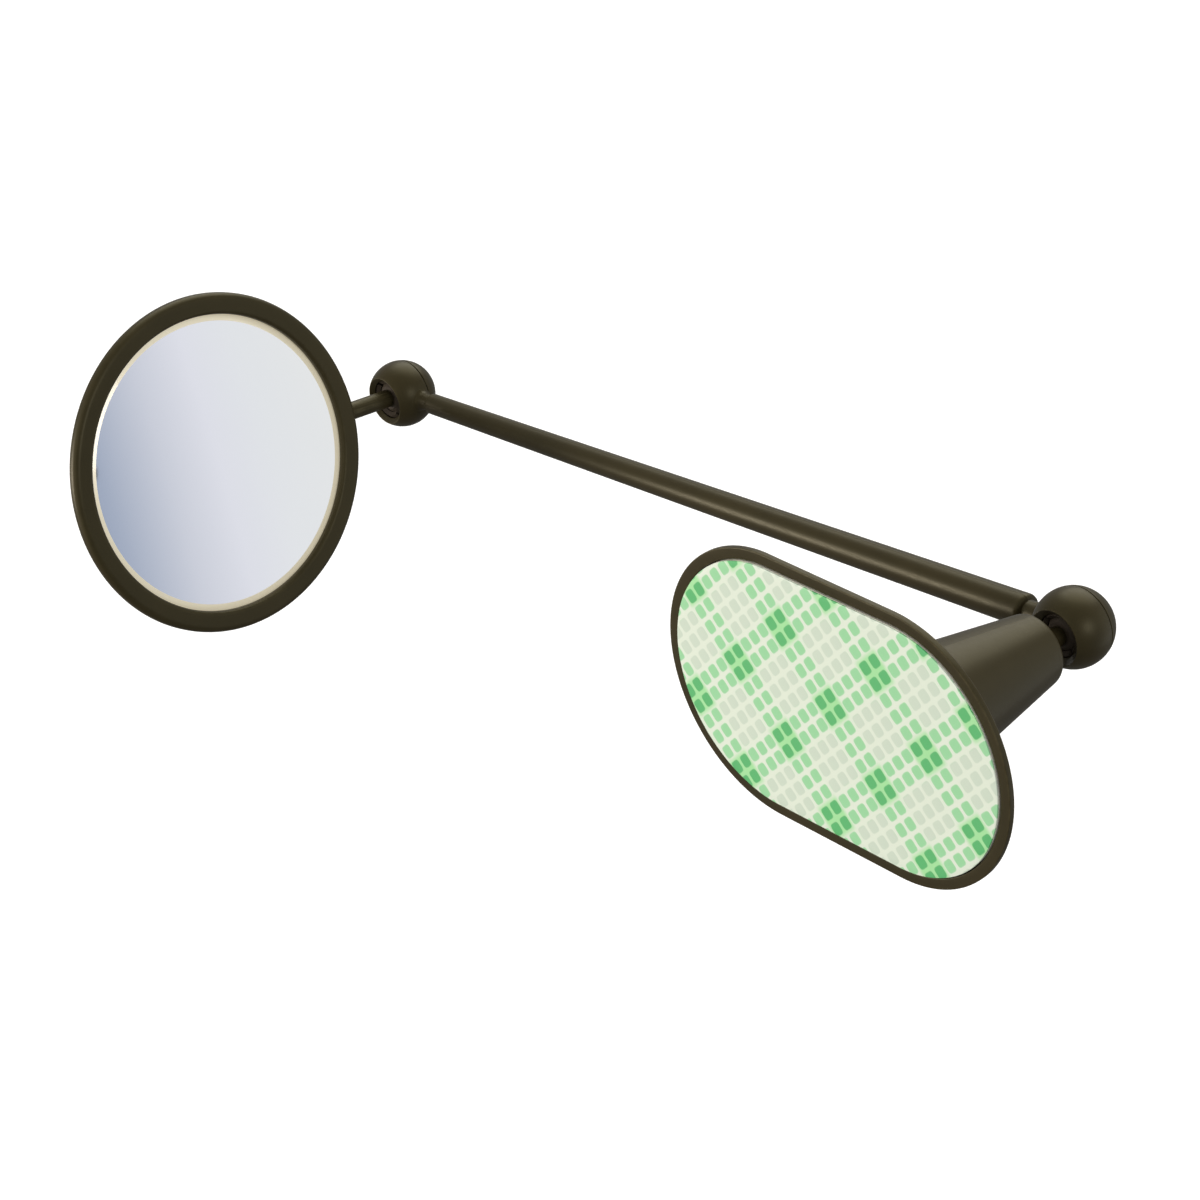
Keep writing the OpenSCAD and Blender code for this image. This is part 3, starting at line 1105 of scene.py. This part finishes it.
@dataclass
class Arm:
    """The arm: a tapered rod between two hollow ball sockets, each closed with a cap."""

    finishes: Finishes
    base_ball: Array
    mirror_ball: Array
    mouth_axis: Array
    columns: int = 128
    inner_mm: float = 3.05
    spigot_mm: float = 3.35
    base_outer_mm: float = 3.975
    mirror_outer_mm: float = 3.775
    mouth_deg: float = 46.0
    seam_share: float = 0.3
    seam_gap_mm: float = 0.1
    spigot_length_mm: float = 0.6
    base_rod_mm: float = 1.72
    mirror_rod_mm: float = 1.13
    base_neck_mm: float = 1.2
    mirror_neck_mm: float = 0.9
    base_shoulder_mm: float = 5.6
    mirror_shoulder_mm: float = 5.3
    flare_mm: float = 0.7

    def build(self) -> None:
        """Make the rod, the two sockets and the two caps."""
        rod = self.rod()
        # The glass shows an even sky, so its view of the rod is left out.
        rod.visible_glossy = False
        settle(rod, Body.ARM, Slot.PLASTIC, "arm_rod")
        ends = (
            ("base", self.base_ball, self.base_outer_mm),
            ("mirror", self.mirror_ball, self.mirror_outer_mm),
        )
        for end, ball, outer in ends:
            shell = self.socket(f"{end}_socket_shell", ball, outer)
            settle(shell, Body.ARM, Slot.PLASTIC, f"{end}_socket")
            dome = self.cap(f"{end}_socket_dome", ball, outer)
            settle(dome, Body.ARM, Slot.PLASTIC, f"{end}_socket_cap")

    def socket(self, name: str, ball: Array, outer: float) -> Object:
        """Make a hollow ball with a flared mouth below and a seat for the cap above.

        Args:
            name: The piece's name.
            ball: The centre of the ball joint.
            outer: The socket's outer radius in millimetres.

        Returns:
            The piece.
        """
        seam = self.seam_share * outer - 0.5 * self.seam_gap_mm
        low = self.mouth_deg - 90.0
        high = math.degrees(math.asin(seam / outer))
        step_height = self.seam_share * outer - self.spigot_length_mm
        corners = arc((0.0, 0.0), outer, low, high, 90)
        corners += [(self.spigot_mm, seam), (self.spigot_mm, step_height), (self.inner_mm, step_height)]
        corners += arc((0.0, 0.0), self.inner_mm, 0.0, low, 48)
        section = Profile.soft(corners, softness=0.13, closed=True, fine=1.2)
        place = Placement.along(ball, self.mouth_axis, self.mirror_ball - self.base_ball)
        shape = turned(section, place, even_angles(self.columns))
        return piece(name, shape, [self.finishes.plastic])

    def cap(self, name: str, ball: Array, outer: float) -> Object:
        """Make the domed cap with a soft lower edge, a spigot and the trace of its moulding gate.

        Args:
            name: The piece's name.
            ball: The centre of the ball joint.
            outer: The socket's outer radius in millimetres.

        Returns:
            The piece.
        """
        seam = self.seam_share * outer + 0.5 * self.seam_gap_mm
        foot = self.seam_share * outer - self.spigot_length_mm
        high = math.degrees(math.asin(seam / outer))
        gate, sunk = 0.55, 0.06
        rim = math.degrees(math.acos(gate / outer))
        corners = [(0.0, outer - sunk), (gate - 0.1, outer - sunk)]
        corners += arc((0.0, 0.0), outer, rim, high, 60)
        corners += [(self.spigot_mm, seam), (self.spigot_mm, foot)]
        lower = math.degrees(math.asin(foot / self.inner_mm))
        corners += arc((0.0, 0.0), self.inner_mm, lower, 90.0, 40)
        section = Profile.soft(corners, softness=0.12, fine=1.2)
        place = Placement.along(ball, self.mouth_axis, self.mirror_ball - self.base_ball)
        shape = turned(section, place, even_angles(self.columns))
        return piece(name, shape, [self.finishes.plastic])

    def flare(self, outer: float, neck: float) -> list[Point]:
        """List the fillet between a ball of radius outer and a neck, as radius and distance.

        The fillet's centre lies outer + q from the ball's centre and neck + q from the axis.

        Args:
            outer: The socket's outer radius.
            neck: The neck's radius.

        Returns:
            The points from the ball's surface to the neck.
        """
        q = self.flare_mm
        away = math.sqrt((outer + q) ** 2 - (neck + q) ** 2)
        touch = math.degrees(math.atan2(-(neck + q), -away))
        return arc((neck + q, away), q, 90.0 - touch, 180.0, 12)

    def rod(self) -> Object:
        """Make the tapered rod with its necks, which flare onto both sockets.

        The radius falls in a straight line from one ball centre to the other, and a thin parting
        line runs down each side.

        Returns:
            The piece.
        """
        length = float(np.linalg.norm(self.mirror_ball - self.base_ball)) / MM
        near, far = self.base_shoulder_mm, length - self.mirror_shoulder_mm
        fall = (self.mirror_rod_mm - self.base_rod_mm) / length
        near_radius = self.base_rod_mm + fall * near
        far_radius = self.base_rod_mm + fall * far
        buried_base, buried_mirror = 3.4, 3.3
        near_round, far_round = 0.55, 0.3
        corners = [(0.0, buried_base)]
        corners += self.flare(self.base_outer_mm, self.base_neck_mm)
        corners += arc((near_radius - near_round, near + near_round), near_round, -90.0, 0.0, 12)
        corners += arc((far_radius - far_round, far - far_round), far_round, 0.0, 90.0, 12)
        back = self.flare(self.mirror_outer_mm, self.mirror_neck_mm)
        corners += [(r, length - s) for r, s in reversed(back)]
        corners += [(0.0, length - buried_mirror)]
        section = Profile.soft(corners, softness=0.14, fine=1.5)
        place = Placement.along(
            self.base_ball, self.mirror_ball - self.base_ball, np.cross(self.mouth_axis, (1.0, 0.0, 0.0))
        )
        shape = turned(section, place, seam_angles(96, 0.16), relief=parting(0.025, 0.8))
        return piece("arm_tapered_rod", shape, [self.finishes.plastic])


@dataclass
class MirrorHead:
    """The mirror: a dished back with its neck, the ring round the front, and the glass."""

    finishes: Finishes
    ball: Array
    neck_axis: Array
    columns: int = 224
    outer_mm: float = 18.5
    skirt_inset_mm: float = 1.08
    rim_inset_mm: float = 0.72
    lip_mm: float = 2.35
    bezel_depth_mm: float = 1.9
    head_depth_mm: float = 4.8
    shoulder_mm: float = 15.6
    shoulder_depth_mm: float = 4.2
    flat_mm: float = 13.2
    neck_mm: float = 1.0
    neck_nose_mm: float = 1.3
    glass_curve_mm: float = 400.0
    glass_bevel_mm: float = 1.45
    glass_front_mm: float = 0.8
    bevel_depth_mm: float = 0.45

    def __post_init__(self) -> None:
        """Find the mirror's own frame: its axis is the direction in which the pad is thinnest."""
        pad = node_points("mirror_foam_pad")
        spread = pad - pad.mean(axis=0)
        normal = np.linalg.eigh(spread.T @ spread)[1][:, 0]
        normal = normal * np.sign(normal[0])
        bezel = node_points("mirror_bezel")
        frame = Placement.along((0.0, 0.0, 0.0), normal, self.neck_axis)
        spans = frame.local(bezel)
        middle = 0.5 * (spans.min(axis=0) + spans.max(axis=0))
        middle[2] = spans[:, 2].max()
        self.face = Placement(frame.place(middle), frame.axes)
        glass = self.face.local(node_points("mirror_glass"))
        self.glass_radius = float(np.hypot(glass[:, 0], glass[:, 1]).max()) / MM
        self.glass_back = -float(glass[:, 2].min()) / MM
        self.pocket_floor = -float(self.face.local(pad)[:, 2].min()) / MM

    def build(self) -> None:
        """Make the housing, the bezel and the glass."""
        settle(self.housing(), Body.HEAD, Slot.PLASTIC, "mirror_housing")
        settle(self.bezel(), Body.HEAD, Slot.PLASTIC, "mirror_bezel")
        settle(self.glass(), Body.HEAD, Slot.GLASS, "mirror_glass")

    def housing(self) -> Object:
        """Make the dished back, with a shallow ring moulded in it, and fuse the neck to its rim.

        Returns:
            The piece.
        """
        pocket = self.glass_radius + 0.1
        skirt = self.outer_mm - self.skirt_inset_mm
        rim = self.outer_mm - self.rim_inset_mm
        top = 1.05
        depth = self.head_depth_mm
        hollow = -depth + 0.25
        ledge = -self.bezel_depth_mm - 0.08
        corners = [
            (0.0, hollow),
            (5.2, hollow),
            (5.6, -depth),
            (self.flat_mm, -depth),
            (self.shoulder_mm, -self.shoulder_depth_mm),
            (rim, ledge),
            (skirt - 0.02, ledge),
            (skirt - 0.02, -top),
            (pocket, -top),
            (pocket, -self.pocket_floor),
            (0.0, -self.pocket_floor),
        ]
        section = Profile.soft(corners, softness=0.3, fine=1.2)
        shell = piece(
            "back_dish",
            turned(section, self.face, even_angles(self.columns)),
            [self.finishes.plastic],
        )
        return fused("mirror_back_shell", shell, self.neck())

    def neck(self) -> Object:
        """Make the neck: a slim rod that swells a little and ends in a nose buried in the back.

        The nose is a quarter ellipse: radius = swell * cos(turn), reach = rim + nose * sin(turn).

        Returns:
            The piece, which is then fused to the back.
        """
        reach = float(np.linalg.norm(self.face.local(self.ball[None])[0][:2])) / MM
        rim = reach - self.outer_mm + 0.65
        swell = 1.15 * self.neck_mm
        corners = [(0.0, 2.0), (self.neck_mm, 2.0), (self.neck_mm, rim - 1.4), (swell, rim)]
        corners += [
            (swell * math.cos(turn), rim + self.neck_nose_mm * math.sin(turn))
            for turn in np.radians(np.linspace(6.0, 90.0, 15)).tolist()
        ]
        section = Profile.soft(corners, softness=0.14, fine=1.3)
        place = Placement.along(self.ball, -self.neck_axis, self.face.axes[2])
        shape = turned(section, place, even_angles(72))
        return piece("neck_rod", shape, [self.finishes.plastic])

    def bezel(self) -> Object:
        """Make the ring: a rounded lip over the glass and a skirt over the housing's edge.

        Returns:
            The piece.
        """
        lip = self.outer_mm - self.lip_mm
        outer = self.outer_mm
        skirt = outer - self.skirt_inset_mm
        back = outer - self.rim_inset_mm
        depth = self.bezel_depth_mm
        corners = [(lip + 0.05, -0.95), (lip, -0.75)]
        corners += arc((lip + 0.45, -0.45), 0.45, 180.0, 90.0, 12)
        corners += arc((outer - 0.75, -0.75), 0.75, 90.0, 0.0, 20)
        corners += [(outer, -1.15), (back, -depth), (skirt, -depth), (skirt, -0.95)]
        section = Profile.soft(corners, softness=0.12, closed=True, fine=1.4)
        shape = turned(section, self.face, even_angles(self.columns))
        return piece("front_ring", shape, [self.finishes.plastic])

    def glass(self) -> Object:
        """Make the convex glass: the front is a cap of a large sphere with a bevelled edge.

        Its height falls from the middle by curve - sqrt(curve squared - radius squared).

        Returns:
            The piece, with the silvered face as one band and the bevel and the back as another.
        """
        curve = self.glass_curve_mm
        flat = self.glass_radius - self.glass_bevel_mm
        radii = np.linspace(0.0, flat, 48)
        rise = curve - math.sqrt(curve**2 - flat**2)
        heights = -self.glass_front_mm + rise - (curve - np.sqrt(curve**2 - radii**2))
        bevel_end = -self.glass_front_mm - self.bevel_depth_mm
        bevel_radii = np.linspace(flat, self.glass_radius, 9)[1:]
        bevel_heights = np.linspace(-self.glass_front_mm, bevel_end, 9)[1:]
        rim = [(self.glass_radius, -self.glass_back), (0.0, -self.glass_back)]
        points = np.vstack(
            [np.column_stack([radii, heights]), np.column_stack([bevel_radii, bevel_heights]), rim]
        )
        section = Profile(points * MM, np.zeros(len(points)), closed=False)
        bands = np.repeat([0, 1], [len(radii) - 1, len(points) - len(radii)])
        shape = turned(section, self.face, even_angles(self.columns), bands=bands)
        made = piece("convex_glass", shape, [self.finishes.silver, self.finishes.bevel])
        made.data.set_sharp_from_angle(angle=math.radians(8.0))
        return made


# ---------------------------------------------------------------------------------------------
# Studio
# ---------------------------------------------------------------------------------------------


@dataclass(frozen=True)
class SkyCard(Finish):
    """A lit card with an even sweep of tone, for the glass to reflect.

    Its colour runs along the card's own "sweep" value, from a blue grey to a near white.
    """

    tones: tuple[tuple[float, str], ...] = (
        (0.0, "#8f9aaf"),
        (0.07, "#a2adc1"),
        (0.31, "#cdd1dc"),
        (0.5, "#e0e2ea"),
        (0.69, "#e4e7ea"),
        (1.0, "#e8eae9"),
    )
    glow: float = 1.08

    def shader(self, tree: Tree, place: Socket) -> Socket:
        """Make the card glow with the tone of its sweep."""
        sweep = add(tree, "ShaderNodeAttribute", {}, attribute_name="sweep")
        colour = ramp(tree, sweep.outputs["Fac"], self.tones)
        glow = add(tree, "ShaderNodeEmission", {"Color": colour, "Strength": self.glow})
        return glow.outputs["Emission"]


@dataclass
class Studio:
    """A pale floor, soft light from large panels, a card for the glass, and the camera."""

    face: Placement
    azimuth_deg: float = 50.98
    elevation_deg: float = 29.69
    roll_deg: float = 5.2
    distance_mm: float = 330.0
    aim_mm: tuple[float, float, float] = (-20.14, -9.21, 8.85)
    lens_mm: float = 108.0
    sensor_mm: float = 36.0
    floor_drop_mm: float = 40.0
    floor_size_mm: float = 6000.0
    card_distance_mm: float = 380.0
    card_half_mm: float = 200.0
    card_sweep_mm: float = 124.0
    card_angle_deg: float = 93.0

    def build(self, bounds: Array) -> None:
        """Make the floor, the lights, the sky and the camera.

        Args:
            bounds: The model's box, lowest and highest corner, in metres.
        """
        bpy.context.scene.view_settings.view_transform = "Standard"
        self.floor(float(bounds[0][2]))
        self.sky()
        self.panels()
        self.camera()
        self.card()

    def away(self) -> Array:
        """Find the direction from the aim to the camera, (cos e sin a, -cos e cos a, sin e).

        Returns:
            The direction, for azimuth a and elevation e.
        """
        azimuth, elevation = math.radians(self.azimuth_deg), math.radians(self.elevation_deg)
        flat = math.cos(elevation)
        return np.array([flat * math.sin(azimuth), -flat * math.cos(azimuth), math.sin(elevation)])

    def floor(self, lowest: float) -> None:
        """Lay a round sheet of pale paper below the model.

        Args:
            lowest: The height of the model's lowest point.
        """
        height = lowest / MM - self.floor_drop_mm
        size = self.floor_size_mm
        corners = [(0.0, height), (size, height), (size, height - 1.0), (0.0, height - 1.0)]
        section = Profile(np.array(corners) * MM, np.zeros(4), closed=False)
        upright = Placement.along((0.0, 0.0, 0.0), (0.0, 0.0, 1.0), (1.0, 0.0, 0.0))
        made = piece(
            "studio_floor",
            turned(section, upright, even_angles(96)),
            [StudioPaper("studio_paper").build()],
        )
        made.data.set_sharp_from_angle(angle=math.radians(30.0))
        # The floor is there to be looked at. The sky below it gives the gloss and the fill.
        made.visible_glossy = False
        made.visible_diffuse = False
        made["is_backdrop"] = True

    def sky(self) -> None:
        """Light the scene from all round, brighter above and dimmer below the horizon.

        The camera sees a plain pale backdrop in its place.
        """
        world = bpy.data.worlds.new("studio_sky")
        bpy.context.scene.world = world
        world.use_nodes = True
        tree = world.node_tree
        tree.nodes.clear()
        place = add(tree, "ShaderNodeTexCoord", {})
        height = add(tree, "ShaderNodeSeparateXYZ", {"Vector": place.outputs["Generated"]})
        rise = remap(tree, height.outputs["Z"], (-1.0, 1.0))
        tones = ((0.0, "#a6a39c"), (0.5, "#d8dadc"), (1.0, "#f4f5f6"))
        colour = ramp(tree, rise, tones)
        glow = add(tree, "ShaderNodeBackground", {"Color": colour, "Strength": 0.46})
        backdrop = add(tree, "ShaderNodeBackground", {"Color": linear("#fdfdfc"), "Strength": 1.0})
        path = add(tree, "ShaderNodeLightPath", {})
        seen = add(
            tree,
            "ShaderNodeMixShader",
            {
                0: path.outputs["Is Camera Ray"],
                1: glow.outputs["Background"],
                2: backdrop.outputs["Background"],
            },
        )
        add(tree, "ShaderNodeOutputWorld", {"Surface": seen.outputs["Shader"]})

    def panels(self) -> None:
        """Light the model: two wide soft skies and two small softboxes for the highlights."""
        self.wash("rear_sky", (-0.33, 0.6, 0.73), 1.8, 60.0, "#fffbea")
        self.wash("front_sky", (-0.15, -1.0, 0.2), 1.1, 80.0, "#fffaf2")
        self.panel("left_softbox", (-360.0, -354.0, -12.0), 170.0, 1.4, "#fff6ee")
        self.panel("right_softbox", (560.0, 0.0, 230.0), 220.0, 0.9, "#fbf9ff")

    def wash(
        self, name: str, toward: tuple[float, float, float], strength: float, spread: float, tone: str
    ) -> None:
        """Add a far, wide source that lights the model and the whole floor evenly.

        Args:
            name: The light's name.
            toward: The direction from the model to the light.
            strength: Its strength in watts a square metre.
            spread: The angle that it fills, in degrees.
            tone: Its colour.
        """
        data = bpy.data.lights.new(name, "SUN")
        data.energy = strength
        data.angle = math.radians(spread)
        data.color = linear(tone)[:3]
        made = linked(name, data)
        made.rotation_euler = (-Vector(toward)).to_track_quat("-Z", "Y").to_euler()

    def panel(
        self, name: str, place_mm: tuple[float, float, float], size_mm: float, watts: float, tone: str
    ) -> None:
        """Hang one square panel of light that faces the model.

        Args:
            name: The light's name.
            place_mm: Where it hangs.
            size_mm: The length of its side.
            watts: Its power.
            tone: Its colour.
        """
        data = bpy.data.lights.new(name, "AREA")
        data.size = size_mm * MM
        data.energy = watts
        data.color = linear(tone)[:3]
        made = linked(name, data)
        place = Vector(place_mm) * MM
        aim = Vector(self.aim_mm) * MM
        made.rotation_euler = (aim - place).to_track_quat("-Z", "Y").to_euler()
        made.location = place
        made.visible_camera = False

    def card(self) -> None:
        """Stand a card where the glass reflects the camera's view, out of the picture.

        The direction is d - 2 (d . n) n for the view d and the glass's axis n. The card is a flat
        grid across that direction, and its "sweep" value rises from 0 to 1 along one line on it.
        """
        eye = np.array(self.aim_mm) * MM + self.away() * self.distance_mm * MM
        view = self.face.origin - eye
        view = view / np.linalg.norm(view)
        normal = self.face.axes[2]
        bounce = view - 2.0 * (view @ normal) * normal
        middle = self.face.origin + bounce * self.card_distance_mm * MM
        frame = Placement.along(middle, -bounce, (0.0, 0.0, 1.0))
        half, steps = self.card_half_mm * MM, 25
        line = np.linspace(-half, half, steps)
        grid = np.stack(np.meshgrid(line, line, indexing="ij"), axis=2).reshape(-1, 2)
        corner = (np.arange(steps - 1)[:, None] * steps + np.arange(steps - 1)).reshape(-1)
        quads = corner[:, None] + np.array([0, steps, steps + 1, 1])
        mesh = bpy.data.meshes.new("sky_card")
        points = frame.place(np.column_stack([grid, np.zeros(len(grid))]))
        mesh.from_pydata(points.tolist(), [], quads.tolist())
        angle = math.radians(self.card_angle_deg)
        along = grid @ np.array([math.cos(angle), math.sin(angle)])
        sweep = np.clip(0.5 + along / (self.card_sweep_mm * MM), 0.0, 1.0)
        value = mesh.attributes.new("sweep", "FLOAT", "POINT")
        value.data.foreach_set("value", sweep.astype(np.float32))
        mesh.materials.append(SkyCard("lit_card").build())
        made = linked("sky_card", mesh)
        made.visible_camera = False
        made.visible_diffuse = False
        made.visible_shadow = False
        made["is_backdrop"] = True

    def camera(self) -> None:
        """Set the camera by azimuth, elevation, roll and distance about the aim point."""
        away = Vector(self.away())
        data = bpy.data.cameras.new("studio_camera")
        data.sensor_width = self.sensor_mm
        data.lens = self.lens_mm
        data.clip_start = 0.01
        made = linked("studio_camera", data)
        level = (-away).to_track_quat("-Z", "Y").to_matrix().to_4x4()
        roll = Matrix.Rotation(math.radians(-self.roll_deg), 4, "Z")
        place = Vector(self.aim_mm) * MM + away * (self.distance_mm * MM)
        made.matrix_world = Matrix.Translation(place) @ level @ roll
        bpy.context.scene.camera = made


# ---------------------------------------------------------------------------------------------
# The whole mirror
# ---------------------------------------------------------------------------------------------


@dataclass
class HelmetMirror:
    """The whole mirror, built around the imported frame."""

    frame: dict

    def joint(self, name: str, key: str) -> Array:
        """Return a joint's "pos_m" or "axis" from the record.

        Args:
            name: The joint's name.
            key: Which of its values.

        Returns:
            The value as an array.
        """
        rows = self.frame["record"]["behaviour"]["joints"]
        return np.array(next(row[key] for row in rows if row["name"] == name), float)

    def build(self) -> MirrorHead:
        """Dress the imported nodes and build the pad, the arm and the head in order.

        Returns:
            The head, whose frame the studio needs.
        """
        finishes = Finishes()
        finishes.dress_frame(self.frame)
        base_ball = self.joint("base_roll", "pos_m")
        mirror_ball = self.joint("mirror_roll", "pos_m")
        roll_axis = self.joint("base_roll", "axis")
        mouth_axis = np.cross(self.joint("base_tilt", "axis"), roll_axis)
        Pad(finishes, base_ball).build()
        Arm(finishes, base_ball, mirror_ball, mouth_axis).build()
        head = MirrorHead(finishes, mirror_ball, self.joint("mirror_spin", "axis"))
        head.build()
        return head


def main() -> None:
    """Load the frame, take its box, and build the mirror and its studio."""
    logging.basicConfig(level=logging.INFO, format="%(name)s: %(message)s")
    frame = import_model()
    cad_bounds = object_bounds()
    head = HelmetMirror(frame).build()
    Studio(head.face).build(np.array(cad_bounds))


if __name__ == "__main__":
    main()
